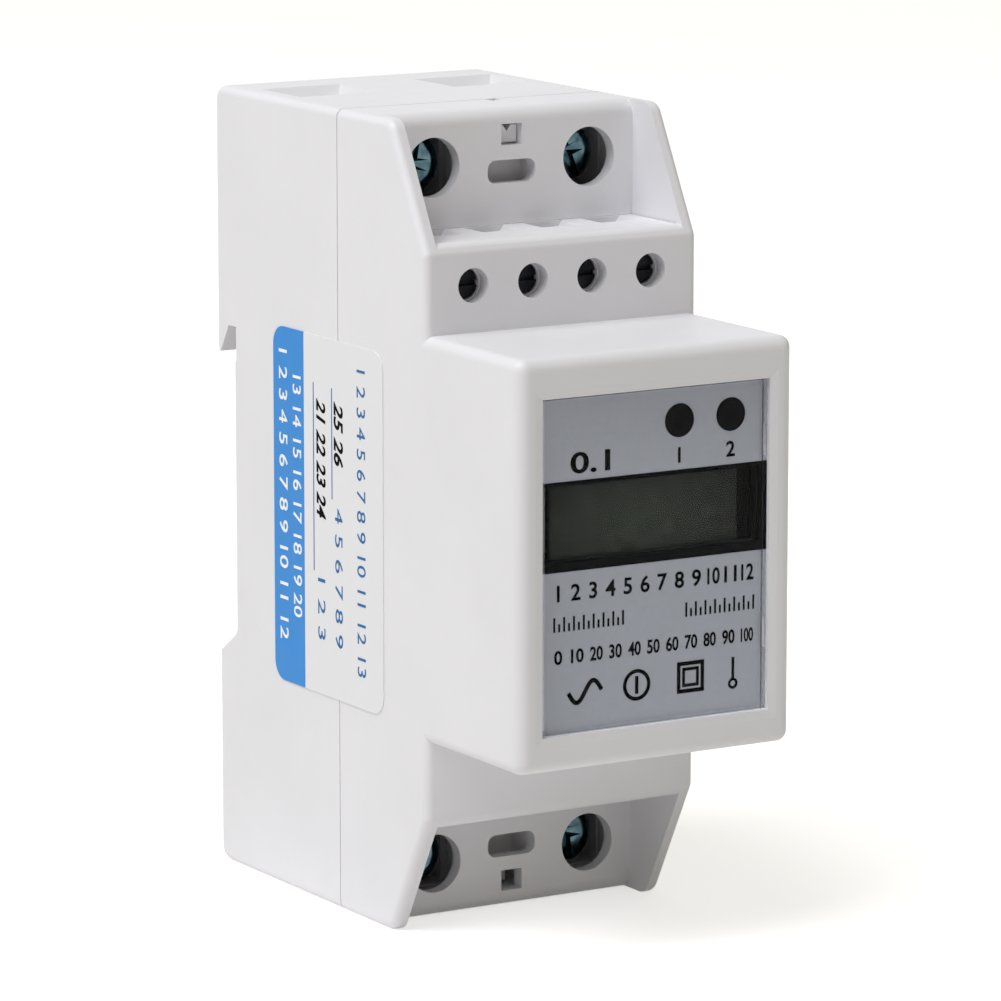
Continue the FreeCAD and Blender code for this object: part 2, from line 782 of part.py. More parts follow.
def indicator_led(x):
    """A 3 mm lamp: flange, body and domed tip."""
    flange_y = -display_board_front
    tip = -plate_front + led_tip_gap
    body = cylinder_y(x, led_height, led_radius, (tip + led_radius, flange_y))
    flange = cylinder_y(x, led_height, led_radius + led_flange[0], (flange_y - led_flange[1], flange_y))
    dome = Part.makeSphere(led_radius, vec(x, tip + led_radius, led_height))
    return body.fuse([flange, dome]).removeSplitter()


def board_holes(xs_zs, radius, y):
    return [cylinder_y(x, z, radius, (y[0] - past, y[1] + past)) for x, z in xs_zs]


def header_places():
    return [((i - (header_pin_count - 1) / 2) * header_pitch, header_height) for i in range(header_pin_count)]


def display_board():
    y = (-display_board_front, -display_board_back)
    x = cover_inner_x - board_margin
    z = nose_half - cover_wall - board_margin
    holes = board_holes(boss_places(), small_screw_hole, y)
    holes += board_holes(header_places(), header_hole_radius, y)
    return box((-x, x), y, (-z, z)).cut(holes)


def display_screws():
    """Four self-tapping screws that hold the display board on the cover's bosses."""
    screws = []
    radius, height = small_screw_head
    for x, z in boss_places():
        shank = cylinder_y(x, z, small_screw_radius, (-frame_back + 2 * sink, -display_board_back + sink))
        head = cylinder_y(x, z, radius, (-display_board_back, -display_board_back + height))
        screws.append(shank.fuse(head).removeSplitter())
    return Part.makeCompound(screws)


def board_link():
    """Pin header that joins the display board to the main board."""
    bodies = [box(centred(0, header_pin_count * header_pitch), y, centred(header_height, header_body))
              for y in ((-display_board_back, -display_board_back + header_body),
                        (-main_board_front - header_body, -main_board_front))]
    depth = (-display_board_front - pin_stand, -main_board_depth + pin_stand)
    pins = [box(centred(x, header_pin_width), depth, centred(z, header_pin_width))
            for x, z in header_places()]
    return bodies[0].fuse(bodies[1:] + pins).removeSplitter()


def sense_places():
    """Where the sense pins stand: either side of the shunt, and on the neutral bar."""
    beside = shunt_length / 2 + sense_pin_offset
    return [(-screw_x, beside), (-screw_x, -beside), (screw_x, 0)]


def main_board():
    y = (-main_board_front, -main_board_depth)
    x = base_inner_x - board_margin
    z = chamber_ceiling - board_margin
    board = box((-x, x), y, (-z, z))
    holes = board_holes(sense_places(), sense_pin_radius + pin_hole_gap, y)
    holes += board_holes(header_places(), header_hole_radius, y)
    holes += board_holes(varistor_leads(), lead_radius + pin_hole_gap, y)
    slot_z = (aux_pin_low - pin_hole_gap, aux_pin_low + aux_pin_thickness + pin_hole_gap)
    slots = [box(centred(ax, aux_pin_width + 2 * pin_hole_gap), (y[0] - past, y[1] + past), slot_z)
             for ax in aux_xs]
    return board.cut(holes + slots)


def film_capacitor():
    """The dropper capacitor of the power supply, a moulded block beside the sense pins."""
    wide, deep, tall = film_capacitor_size
    left = -screw_x + sense_pin_radius + film_capacitor_gap
    return rounded_y((left, left + wide), centred(film_capacitor_z, tall), film_capacitor_edge,
                     (-main_board_front - deep, -main_board_front))


def smoothing_capacitor():
    """Electrolytic can with a crimped neck."""
    x, z = supply_row_x, can_z
    base = -main_board_front
    height, width, depth = can_crimp
    can = cylinder_y(x, z, can_radius, (base - can_length, base))
    neck = (base - height, base - height + width)
    groove = cylinder_y(x, z, can_radius + past, neck).cut(cylinder_y(x, z, can_radius - depth, neck))
    top = edges_where(can, lambda p: near(p.y, base - can_length))
    return can.makeFillet(can_edge, top).cut(groove)


def varistor_leads():
    """Where the surge arrester's two legs pass the board."""
    return [(supply_row_x, varistor_z + s * varistor_radius / 2) for s in (-1, 1)]


def varistor():
    """Disc surge arrester on two legs."""
    x, z = supply_row_x, varistor_z
    base = -main_board_front
    middle = base - varistor_rise - varistor_radius
    start = vec(x - varistor_thickness / 2, middle, z)
    disc = Part.makeCylinder(varistor_radius, varistor_thickness, start, vec(1, 0, 0))
    depth = (middle, -main_board_depth + pin_stand)
    legs = [cylinder_y(lx, lz, lead_radius, depth) for lx, lz in varistor_leads()]
    rim = [e for e in disc.Edges if e.Closed]
    return disc.makeFillet(varistor_edge, rim).fuse(legs).removeSplitter()


def chip(place, size, count, pitch):
    """A moulded package with two rows of legs, on the rear side of the main board."""
    x, z = place
    length, width, height = size
    y = -main_board_depth
    body = box(centred(x, length), (y + chip_stand, y + height), centred(z, width))
    feet = [box(centred(x + (i - (count - 1) / 2) * pitch, chip_lead[0]), (y, y + height / 2),
                centred(z, width + 2 * chip_lead[1])) for i in range(count)]
    return body.fuse(feet).removeSplitter()


def metering_chip():
    return chip(metering_chip_place, metering_chip_size, metering_chip_lead_count, metering_chip_lead_pitch)


def optocouplers():
    chips = [chip(place, optocoupler_size, optocoupler_lead_count, optocoupler_lead_pitch)
             for place in optocoupler_places]
    return Part.makeCompound(chips)


def crystal():
    """Low metal can with rounded ends."""
    length, width, height = crystal_size
    y = -main_board_depth
    return rounded_y(centred(0, length), centred(crystal_z, width), crystal_radius, (y, y + height))


def bar(x, z):
    """A flat copper bar that is the terminal's tongue at its outer end."""
    return box(centred(x, tongue_width), (-tongue_depth, -tongue_back), z)


def sense_pins():
    depth = (-main_board_front - pin_stand, -tongue_depth)
    pins = [cylinder_y(x, z, sense_pin_radius, depth) for x, z in sense_places()]
    return Part.makeCompound(pins)


def terminal_screw(sx, sz):
    """Captive clamp screw: round head with a combined slot and cross, plain shank and bevelled tip."""
    x, z = sx * screw_x, sz * screw_z
    head = cylinder_y(x, z, screw_head_radius, (-screw_head_front, -screw_head_back))
    head = head.makeFillet(screw_head_edge, edges_where(head, lambda p: near(p.y, -screw_head_front)))
    shank = cylinder_y(x, z, screw_shank_radius, (-screw_head_back - sink, -screw_tip))
    shank = shank.makeChamfer(screw_tip_chamfer, edges_where(shank, lambda p: near(p.y, -screw_tip)))
    width, depth = driver_slot
    front = -screw_head_front - past
    slot = box(centred(x, 2 * (screw_head_radius + past)), (front, -screw_head_front + depth),
               centred(z, width))
    reach, cross_depth = driver_cross
    cross = [box(centred(x, wide), (front, -screw_head_front + cross_depth), centred(z, tall))
             for wide, tall in ((width, reach), (reach, width))]
    return head.fuse(shank).cut([slot] + cross).removeSplitter()


def loop(x, z, width, height, front, front_inner, back_inner, back, side):
    """A folded cage open along Z; depths are measured forward from the rail seat."""
    outer = rounded_z(centred(x, width), (-front, -back), min(side, cage_corner), centred(z, height))
    inner = box(centred(x, width - 2 * side), (-front_inner, -back_inner), centred(z, height + 2 * past))
    return outer.cut(inner)


def terminal_cage(sx, sz):
    """Rising cage: the screw turns in its front wall and pulls its back wall up to the tongue."""
    x, z = sx * screw_x, sz * screw_z
    cage = loop(x, z, cage_width, cage_height, cage_front_outer, cage_front_inner,
                cage_back_inner, cage_back_inner - cage_side, cage_side)
    hole = cylinder_y(x, z, screw_shank_radius + thread_clearance,
                      (-cage_front_outer - past, -cage_front_inner + sink))
    width, depth = cage_tooth
    grooves = [prism_x([(-cage_back_inner, z + i * cage_tooth_pitch - width / 2),
                        (-cage_back_inner, z + i * cage_tooth_pitch + width / 2),
                        (-cage_back_inner + depth, z + i * cage_tooth_pitch)],
                       centred(x, cage_width - 2 * cage_side)) for i in (-1, 0, 1)]
    return cage.cut([hole] + grooves)


def aux_block():
    """Moulded block of the auxiliary terminals; its top is the floor between the upper wings."""
    body = box((-aux_block_half, aux_block_half), (-aux_block_front, -aux_block_back),
               (aux_block_bottom, aux_block_top))
    wall = aux_block_wall
    cell_y = (-aux_block_front + aux_block_front_wall, -aux_block_back - aux_block_back_wall)
    cell_z = (aux_block_bottom + wall, aux_block_top - wall)
    throat_y = -(aux_pin_back + aux_cage_back_inner) / 2
    bore_y = (-aux_block_front - past, -aux_block_front + aux_block_front_wall + sink)
    pin_y = (-aux_pin_front - pin_hole_gap, -aux_pin_back + pin_hole_gap)
    cuts = []
    for x in aux_xs:
        cuts.append(box(centred(x, aux_cell_width), cell_y, cell_z))
        cuts.append(cylinder_y(x, aux_height, aux_head_radius + aux_bore_gap, bore_y))
        cuts.append(funnel_z(x, throat_y - aux_mouth_offset, aux_mouth, aux_throat, aux_block_top,
                             aux_block_top - wall, throat_y))
        cuts.append(box(centred(x, aux_pin_width + 2 * pin_hole_gap), pin_y,
                        (aux_block_bottom - past, aux_block_bottom + wall + sink)))
    return body.cut(cuts).removeSplitter()


def aux_pins():
    """Bent tongues that carry the auxiliary signals down and back to the main board."""
    pins = []
    for x in aux_xs:
        up = box(centred(x, aux_pin_width), (-aux_pin_front, -aux_pin_back),
                 (aux_pin_low, aux_height + aux_cage_height / 2 - aux_pin_inset))
        back = box(centred(x, aux_pin_width), (-aux_pin_front, -main_board_depth + aux_pin_tail),
                   (aux_pin_low, aux_pin_low + aux_pin_thickness))
        pins.append(up.fuse(back).removeSplitter())
    return Part.makeCompound(pins)


def aux_screw(x):
    head = cylinder_y(x, aux_height, aux_head_radius, (-aux_head_front, -aux_head_back))
    shank = cylinder_y(x, aux_height, aux_shank_radius, (-aux_head_back - sink, -aux_cage_front_inner))
    width, depth = aux_driver_slot
    slot = box(centred(x, 2 * (aux_head_radius + past)), (-aux_head_front - past, -aux_head_front + depth),
               centred(aux_height, width))
    return head.fuse(shank).cut(slot).removeSplitter()


def aux_cage(x):
    cage = loop(x, aux_height, aux_cage_width, aux_cage_height, aux_cage_front_outer, aux_cage_front_inner,
                aux_cage_back_inner, aux_cage_back_inner - aux_cage_back, aux_cage_side)
    hole = cylinder_y(x, aux_height, aux_shank_radius + thread_clearance,
                      (-aux_cage_front_outer - past, -aux_cage_front_inner + sink))
    return cage.cut(hole)


def rail_clip():
    """Sliding foot: a T-shaped plate with a wedge jaw behind the rail's lower flange."""
    front = clip_floor + clip_play
    middle = front + clip_plate
    back = foot_depth - clip_foot_recess
    shoulder = -slope_foot - clip_shoulder_drop
    jaw_top = -rail_width / 2 + jaw_rise
    jaw_front = rail_thickness + clip_play
    wide = box(centred(0, clip_width), (front, middle), (clip_low, shoulder))
    narrow = box(centred(0, clip_back_width), (front, back), (clip_low, shoulder))
    jaw_outline = [(jaw_front, shoulder - sink), (jaw_front, jaw_top - jaw_chamfer[1]),
                   (jaw_front + jaw_chamfer[0], jaw_top), (back, jaw_top - jaw_slope),
                   (back, shoulder - sink)]
    jaw = prism_x(jaw_outline, centred(0, clip_back_width))
    through = (front - past, back + past)
    spring_window = box(centred(0, clip_window_width), through, (clip_window_low, clip_window_high))
    slot_low = clip_low + clip_slot_inset
    tool_slot = box(centred(0, clip_slot[0]), through, (slot_low, slot_low + clip_slot[1]))
    return wide.fuse([narrow, jaw]).cut([spring_window, tool_slot]).removeSplitter()


def clip_spring():
    """Coil spring in the clip's window, between the base's nub and the window's upper edge."""
    rise = clip_window_high - nub_top - spring_wire
    wire = spring_wire / 2
    y = (clip_floor + foot_depth) / 2
    helix = Part.makeHelix(rise / spring_turns, rise, spring_radius)
    section = Part.Wire(Part.makeCircle(wire, vec(spring_radius, 0, 0), vec(0, 1, 0)))
    coil = Part.Wire(helix.Edges).makePipeShell([section], True, True)
    coil.translate(vec(0, y, nub_top + wire))
    return coil


def side_label():
    """The thin paper sticker across the joint on the left side."""
    return rounded_x(centred(sticker_centre[0], sticker_size[0]), centred(sticker_centre[1], sticker_size[1]),
                     sticker_radius, (-half_width - sticker_thickness, -half_width))


def all_parts():
    parts = {
        "base_housing": base_housing(),
        "front_cover": front_cover(),
        "window": window(),
        "face_label": face_label(),
        "display_frame": display_frame(),
        "lcd_panel": lcd_panel(),
        "zebra_strip_upper": zebra_strip(1),
        "zebra_strip_lower": zebra_strip(-1),
        "power_led": indicator_led(led_xs[1]),
        "pulse_led": indicator_led(led_xs[0]),
        "display_board": display_board(),
        "display_screws": display_screws(),
        "board_link": board_link(),
        "main_board": main_board(),
        "film_capacitor": film_capacitor(),
        "smoothing_capacitor": smoothing_capacitor(),
        "varistor": varistor(),
        "metering_chip": metering_chip(),
        "optocouplers": optocouplers(),
        "crystal": crystal(),
        "line_bar_upper": bar(-screw_x, (shunt_length / 2, tongue_end)),
        "line_bar_lower": bar(-screw_x, (-tongue_end, -shunt_length / 2)),
        "shunt_strip": bar(-screw_x, (-shunt_length / 2, shunt_length / 2)),
        "neutral_bar": bar(screw_x, (-tongue_end, tongue_end)),
        "sense_pins": sense_pins(),
        "aux_terminal_block": aux_block(),
        "aux_pins": aux_pins(),
        "rail_clip": rail_clip(),
        "clip_spring": clip_spring(),
        "side_label": side_label(),
    }
    for number, (sx, sz) in enumerate(terminals, 1):
        parts[f"terminal_screw_{number}"] = terminal_screw(sx, sz)
        parts[f"terminal_cage_{number}"] = terminal_cage(sx, sz)
    for number, x in enumerate(aux_xs, 1):
        parts[f"aux_screw_{number}"] = aux_screw(x)
        parts[f"aux_cage_{number}"] = aux_cage(x)
    return parts


os.makedirs("parts", exist_ok=True)
for name, shape in all_parts().items():
    shape.exportStep(f"parts/{name}.step")
    solids = shape.Solids
    print(f"{name}: {len(solids)} solid(s), {sum(s.Volume for s in solids):.1f} mm3, valid {shape.isValid()}")
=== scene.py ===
import json
import math

import bpy
from mathutils import Matrix, Vector


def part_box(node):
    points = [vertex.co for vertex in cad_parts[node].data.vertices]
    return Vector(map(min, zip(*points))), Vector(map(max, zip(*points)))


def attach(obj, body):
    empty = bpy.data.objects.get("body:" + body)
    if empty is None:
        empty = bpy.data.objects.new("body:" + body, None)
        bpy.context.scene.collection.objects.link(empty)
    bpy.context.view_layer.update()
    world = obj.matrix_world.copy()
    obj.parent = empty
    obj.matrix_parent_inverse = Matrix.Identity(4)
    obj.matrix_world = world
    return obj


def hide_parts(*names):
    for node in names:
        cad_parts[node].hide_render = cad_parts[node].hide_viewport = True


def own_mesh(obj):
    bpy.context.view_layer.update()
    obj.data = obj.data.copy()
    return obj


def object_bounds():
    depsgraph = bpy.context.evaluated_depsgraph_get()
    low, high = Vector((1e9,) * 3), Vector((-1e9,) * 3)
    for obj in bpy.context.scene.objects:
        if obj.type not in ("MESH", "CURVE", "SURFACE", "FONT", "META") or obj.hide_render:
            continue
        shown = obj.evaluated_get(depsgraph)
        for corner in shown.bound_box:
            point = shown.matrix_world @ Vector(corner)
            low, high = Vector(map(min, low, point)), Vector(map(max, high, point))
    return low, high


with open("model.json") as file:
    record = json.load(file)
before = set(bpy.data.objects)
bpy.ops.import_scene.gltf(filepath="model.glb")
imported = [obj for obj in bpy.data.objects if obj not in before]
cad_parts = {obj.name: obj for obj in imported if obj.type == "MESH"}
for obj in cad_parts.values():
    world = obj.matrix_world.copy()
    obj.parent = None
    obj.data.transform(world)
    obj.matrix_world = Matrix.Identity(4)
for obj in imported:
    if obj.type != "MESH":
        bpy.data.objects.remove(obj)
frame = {"nodes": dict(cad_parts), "record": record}
cad_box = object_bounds()

# Pieces and patterns are measured in millimetres and turned to Blender's metres with MM.
# The camera, the softbox and the floor's size are in metres.
# X runs across the meter, +Y towards the rail behind it, +Z up.
MM = 0.001


# Camera and softbox

def camera_at(place, azimuth, elevation, lens):
    """A camera that looks from its place along the photograph's viewing direction."""
    az, el = math.radians(azimuth), math.radians(elevation)
    back = Vector((math.sin(az) * math.cos(el), -math.cos(az) * math.cos(el), math.sin(el)))
    bpy.ops.object.camera_add(location=place)
    camera = bpy.context.object
    camera.rotation_euler = (-back).to_track_quat("-Z", "Y").to_euler()
    camera.data.lens = lens
    camera.data.sensor_width = 36
    camera.data.clip_start = 0.01
    bpy.context.scene.camera = camera


def soft_panel(name, direction, distance, size, power, tint):
    """A square softbox that shines on the meter from one direction."""
    place = Vector(direction).normalized() * distance
    bpy.ops.object.light_add(type="AREA", location=place)
    lamp = bpy.context.object
    lamp.name = name
    lamp.rotation_euler = (-place).to_track_quat("-Z", "Y").to_euler()
    lamp.data.shape = "SQUARE"
    lamp.data.size = size
    lamp.data.energy = power
    lamp.data.color = tint


camera_at(place=(-0.335166, -0.588955, 0.120646), azimuth=-30.952, elevation=10.418, lens=211.8)
soft_panel("key_softbox", direction=(-0.5, -0.09, 0.86), distance=1.2, size=0.9, power=12.8,
           tint=(0.965, 0.975, 1.0))
bpy.context.scene.view_settings.view_transform = "Standard"


# How materials are made

def linear(code):
    """An sRGB hex colour as the linear numbers that Blender's sockets take."""
    parts = [int(code[i:i + 2], 16) / 255 for i in (1, 3, 5)]
    return [c / 12.92 if c <= 0.04045 else ((c + 0.055) / 1.055) ** 2.4 for c in parts] + [1.0]


def add(tree, kind, values=None, links=None, stops=None, **settings):
    """Adds one node with its settings, socket values, links and, for a ramp, its colour stops."""
    node = tree.nodes.new(kind)
    for name, value in settings.items():
        setattr(node, name, value)
    for socket, value in (values or {}).items():
        node.inputs[socket].default_value = value
    for socket, source in (links or {}).items():
        tree.links.new(source, node.inputs[socket])
    if stops:
        while len(node.color_ramp.elements) < len(stops):
            node.color_ramp.elements.new(0.5)
        for element, (position, code) in zip(node.color_ramp.elements, stops):
            element.position = position
            element.color = linear(code)
    return node


def blank(name):
    """An empty material, its node tree and its Object coordinates."""
    material = bpy.data.materials.new(name)
    material.use_nodes = True
    tree = material.node_tree
    tree.nodes.clear()
    return material, tree, add(tree, "ShaderNodeTexCoord").outputs["Object"]


def close(tree, shader):
    """Gives a finished shader to the material's output."""
    add(tree, "ShaderNodeOutputMaterial", links={"Surface": shader.outputs[0]})


def grain(tree, place, size_mm, depth_mm):
    """The fine relief that a mould, a casting or a coating leaves, as a normal."""
    noise = add(tree, "ShaderNodeTexNoise", {"Scale": 1 / (size_mm * MM), "Detail": 2.0}, {"Vector": place})
    bump = add(tree, "ShaderNodeBump", {"Strength": 1.0, "Distance": depth_mm * MM},
               {"Height": noise.outputs["Fac"]})
    return bump.outputs["Normal"]


def tones(tree, place, first, second, size_mm):
    """A colour that drifts between two tones over a given size."""
    noise = add(tree, "ShaderNodeTexNoise", {"Scale": 1 / (size_mm * MM), "Detail": 3.0}, {"Vector": place})
    ramp = add(tree, "ShaderNodeValToRGB", links={"Fac": noise.outputs["Fac"]},
               stops=[(0.35, first), (0.65, second)])
    return ramp.outputs["Color"]


def gloss_patches(tree, place, low, high, size_mm):
    """A roughness that drifts between two values over a given size."""
    noise = add(tree, "ShaderNodeTexNoise", {"Scale": 1 / (size_mm * MM)}, {"Vector": place})
    spread = add(tree, "ShaderNodeMapRange",
                 {"From Min": 0.3, "From Max": 0.7, "To Min": low, "To Max": high},
                 {"Value": noise.outputs["Fac"]})
    return spread.outputs["Result"]


def mixed(tree, share, first, second):
    """The first shader where the share is 0, and the second where it is 1."""
    return add(tree, "ShaderNodeMixShader", links={"Fac": share, 1: first.outputs[0], 2: second.outputs[0]})


def seen_directly(tree):
    """1 for rays from the camera, a shiny face or clear plastic, and 0 for the light that falls on things."""
    ray = add(tree, "ShaderNodeLightPath")
    mirrored = add(tree, "ShaderNodeMath", operation="MAXIMUM",
                   links={0: ray.outputs["Is Camera Ray"], 1: ray.outputs["Is Glossy Ray"]})
    passed = add(tree, "ShaderNodeMath", operation="MAXIMUM",
                 links={0: mirrored.outputs["Value"], 1: ray.outputs["Is Transmission Ray"]})
    return passed.outputs["Value"]


# Plastics, paper and ink

def moulded_plastic(name, first, second, low, high, ior=1.5, shine=0.5, grain_mm=0.35, depth_mm=0.012):
    """A moulding with a spark-eroded skin: a fine even grain, nearly even colour, a soft broad shine."""
    material, tree, place = blank(name)
    shader = add(tree, "ShaderNodeBsdfPrincipled", {"IOR": ior, "Specular IOR Level": shine},
                 {"Base Color": tones(tree, place, first, second, size_mm=14),
                  "Roughness": gloss_patches(tree, place, low, high, size_mm=5),
                  "Normal": grain(tree, place, grain_mm, depth_mm)})
    close(tree, shader)
    return material


def clear_polycarbonate():
    """Polished clear moulding: its sides mirror the label, its face hardly mirrors, and light passes in."""
    material, tree, place = blank("clear polycarbonate")
    pane = add(tree, "ShaderNodeBsdfPrincipled",
               {"Base Color": linear("#FDFEFF"), "IOR": 1.5, "Transmission Weight": 1.0, "Roughness": 0.0,
                "Specular Tint": linear("#0A0A0A")},
               {"Normal": grain(tree, place, size_mm=6, depth_mm=0.002)})
    through = add(tree, "ShaderNodeBsdfTransparent", {"Color": linear("#F4F6F7")})
    ray = add(tree, "ShaderNodeLightPath")
    close(tree, mixed(tree, ray.outputs["Is Shadow Ray"], pane, through))
    return material


def printed_silver_film():
    """Polyester film with a silver-grey ground: satin, with a fine metal flake."""
    material, tree, place = blank("printed silver-grey polyester film")
    shader = add(tree, "ShaderNodeBsdfPrincipled",
                 {"IOR": 1.6, "Metallic": 0.2, "Roughness": 0.6, "Specular IOR Level": 0.2},
                 {"Base Color": tones(tree, place, "#A0A2A8", "#A6A8AE", size_mm=0.25),
                  "Normal": grain(tree, place, size_mm=0.2, depth_mm=0.004)})
    close(tree, shader)
    return material


def display_glass():
    """Display glass under a matt polariser: dark grey-green, with painted light that makes it a little
    lighter in its middle.
    """
    material, tree, place = blank("liquid crystal glass with polariser")
    # Painted light: a spherical gradient lightens the glass round this middle point and fades out over these
    # reaches.
    middle_x, middle_z = -1.0, 3.6
    reach_x, reach_z = 13.5, 7.5
    centre = add(tree, "ShaderNodeMapping", {"Location": (-middle_x * MM, 0, -middle_z * MM)},
                 {"Vector": place})
    lit_patch_oval = add(tree, "ShaderNodeMapping", {"Scale": (1 / (reach_x * MM), 0, 1 / (reach_z * MM))},
               {"Vector": centre.outputs["Vector"]})
    spread = add(tree, "ShaderNodeTexGradient", links={"Vector": lit_patch_oval.outputs["Vector"]},
                 gradient_type="SPHERICAL")
    ramp = add(tree, "ShaderNodeValToRGB", links={"Fac": spread.outputs["Fac"]},
               stops=[(0.0, "#212320"), (0.45, "#2A2E28"), (1.0, "#30362E")])
    shader = add(tree, "ShaderNodeBsdfPrincipled", {"IOR": 1.5, "Specular IOR Level": 0.08},
                 {"Base Color": ramp.outputs["Color"],
                  "Roughness": gloss_patches(tree, place, 0.22, 0.3, size_mm=3)})
    close(tree, shader)
    return material


def silicone_stripes():
    """Silicone contact strip: carbon layers between clear ones, drawn 1.1 mm apart so that they show."""
    material, tree, place = blank("layered silicone")
    stripe_radian = 0.18
    radians_per_unit = 20        # how far a wave texture turns over each unit at scale 1
    bands = add(tree, "ShaderNodeTexWave", {"Scale": 1 / (stripe_radian * MM) / radians_per_unit},
                {"Vector": place}, bands_direction="X")
    ramp = add(tree, "ShaderNodeValToRGB", links={"Fac": bands.outputs["Fac"]},
               stops=[(0.45, "#1B1B1D"), (0.55, "#5C5B58")])
    shader = add(tree, "ShaderNodeBsdfPrincipled", {"IOR": 1.41, "Roughness": 0.7},
                 {"Base Color": ramp.outputs["Color"],
                  "Normal": grain(tree, place, size_mm=0.2, depth_mm=0.004)})
    close(tree, shader)
    return material


def red_epoxy():
    """Diffused red epoxy lamp: deep red, a little see-through, wet shine."""
    material, tree, place = blank("diffused red epoxy")
    shader = add(tree, "ShaderNodeBsdfPrincipled",
                 {"IOR": 1.53, "Subsurface Weight": 0.3, "Subsurface Scale": 0.001,
                  "Subsurface Radius": (1.0, 0.2, 0.1)},
                 {"Base Color": tones(tree, place, "#8E1414", "#A31A18", size_mm=1.5),
                  "Roughness": gloss_patches(tree, place, 0.12, 0.2, size_mm=1)})
    close(tree, shader)
    return material


def solder_mask():
    """Glass-epoxy board under green solder mask: tracks show as lighter lines beneath the coat."""
    material, tree, place = blank("green solder mask on glass epoxy")
    flat = add(tree, "ShaderNodeMapping", {"Rotation": (math.pi / 2, 0, 0)}, {"Vector": place})
    tracks = add(tree, "ShaderNodeTexBrick",
                 {"Color1": linear("#1F5A33"), "Color2": linear("#235F38"), "Mortar": linear("#2E7445"),
                  "Scale": 1 / (9.0 * MM), "Mortar Size": 0.03, "Brick Width": 0.5, "Row Height": 0.12},
                 {"Vector": flat.outputs["Vector"]})
    relief = add(tree, "ShaderNodeBump", {"Strength": 0.6, "Distance": 0.035 * MM},
                 {"Height": tracks.outputs["Fac"]})
    shader = add(tree, "ShaderNodeBsdfPrincipled", {"IOR": 1.55},
                 {"Base Color": tracks.outputs["Color"], "Normal": relief.outputs["Normal"],
                  "Roughness": gloss_patches(tree, place, 0.25, 0.4, size_mm=2)})
    close(tree, shader)
    return material


def coated_paper():
    """Coated sticker paper: bright white with a blue printed band along its rear edge, semi-gloss."""
    material, tree, place = blank("coated sticker paper")
    band_front = -16.4
    parts = add(tree, "ShaderNodeSeparateXYZ", links={"Vector": place})
    band = add(tree, "ShaderNodeMath", {1: band_front * MM}, {0: parts.outputs["Y"]},
               operation="GREATER_THAN")
    ramp = add(tree, "ShaderNodeValToRGB", links={"Fac": band.outputs["Value"]},
               stops=[(0.45, "#E6E7EC"), (0.55, "#2488D8")])
    shader = add(tree, "ShaderNodeBsdfPrincipled", {"IOR": 1.5, "Specular IOR Level": 0.2},
                 {"Base Color": ramp.outputs["Color"],
                  "Normal": grain(tree, place, size_mm=0.5, depth_mm=0.006),
                  "Roughness": gloss_patches(tree, place, 0.32, 0.4, size_mm=3)})
    close(tree, shader)
    return material


def printing_ink(name, first, second):
    """Screen-printed ink: flat and matt, with a very fine grain."""
    material, tree, place = blank(name)
    shader = add(tree, "ShaderNodeBsdfPrincipled", {"IOR": 1.5, "Roughness": 0.6, "Specular IOR Level": 0.02},
                 {"Base Color": tones(tree, place, first, second, size_mm=0.6),
                  "Normal": grain(tree, place, size_mm=0.12, depth_mm=0.003)})
    close(tree, shader)
    return material


# Metals

def plated_metal(name, first, second, low, high):
    """A plated or bright metal: two close tones, and a shine that changes from place to place."""
    material, tree, place = blank(name)
    shader = add(tree, "ShaderNodeBsdfPrincipled", {"Metallic": 1.0},
                 {"Base Color": tones(tree, place, first, second, size_mm=1.2),
                  "Roughness": gloss_patches(tree, place, low, high, size_mm=0.8),
                  "Normal": grain(tree, place, size_mm=0.4, depth_mm=0.004)})
    close(tree, shader)
    return material


# The finish of every CAD node

# Fine matt skin, off-white with a cold cast, almost no shine
housing_skin = moulded_plastic("moulded polycarbonate", "#E2E2E7", "#E5E5EA", 0.46, 0.54, ior=1.585)
# Deep black with hardly a shine
black_moulding = moulded_plastic("black moulded ABS", "#0E0E10", "#131315", 0.5, 0.6, shine=0.08)
# Dark grey nylon, slightly waxy
nylon = moulded_plastic("moulded nylon", "#232326", "#2A2A2D", 0.38, 0.46, ior=1.53)
# Yellow polyester box filled with resin
yellow_box = moulded_plastic("polyester box", "#D3A62B", "#DBB036", 0.25, 0.35)
# Blue epoxy dip with a wet, slightly uneven skin
blue_dip = moulded_plastic("dipped epoxy coat", "#1D4C96", "#2456A5", 0.18, 0.28, grain_mm=1.2, depth_mm=0.03)
# Dull black moulding compound
chip_body = moulded_plastic("epoxy moulding compound", "#1A1A1C", "#202022", 0.55, 0.65, ior=1.55)
# Zinc plate under clear passivation: cold silver with a faint blue cloud
zinc = plated_metal("zinc-plated steel", "#B9BDC2", "#C7C9C6", 0.28, 0.42)
# Dark blue-green passivation on the clamp screws
dark_zinc = plated_metal("dark passivated steel", "#5E7A80", "#425963", 0.1, 0.22)
# Black oxide on the small screws, oily and nearly without a shine
black_oxide = plated_metal("black-oxide steel", "#26272A", "#1E1F22", 0.35, 0.5)
# Drawn can of the smoothing capacitor
can_skin = plated_metal("drawn aluminium", "#C9CACC", "#D5D6D8", 0.25, 0.35)
# Bright drawn spring wire and the crystal's can
bright_wire = plated_metal("drawn spring steel", "#C2C3C4", "#CFD0D1", 0.2, 0.32)
# Matt tin on copper, warm silver
tin = plated_metal("tin-plated copper", "#CFC8BD", "#D9D3CA", 0.3, 0.45)
# Rolled copper-manganese strip, grey-brown
manganin = plated_metal("rolled manganin", "#A78363", "#B38E6C", 0.3, 0.42)
black_ink = printing_ink("black screen-printed ink", "#060707", "#0A0B0B")
white_ink = printing_ink("white printing ink", "#F2F5FA", "#FAFBFF")
blue_ink = printing_ink("blue printing ink", "#3D73A8", "#4379AE")

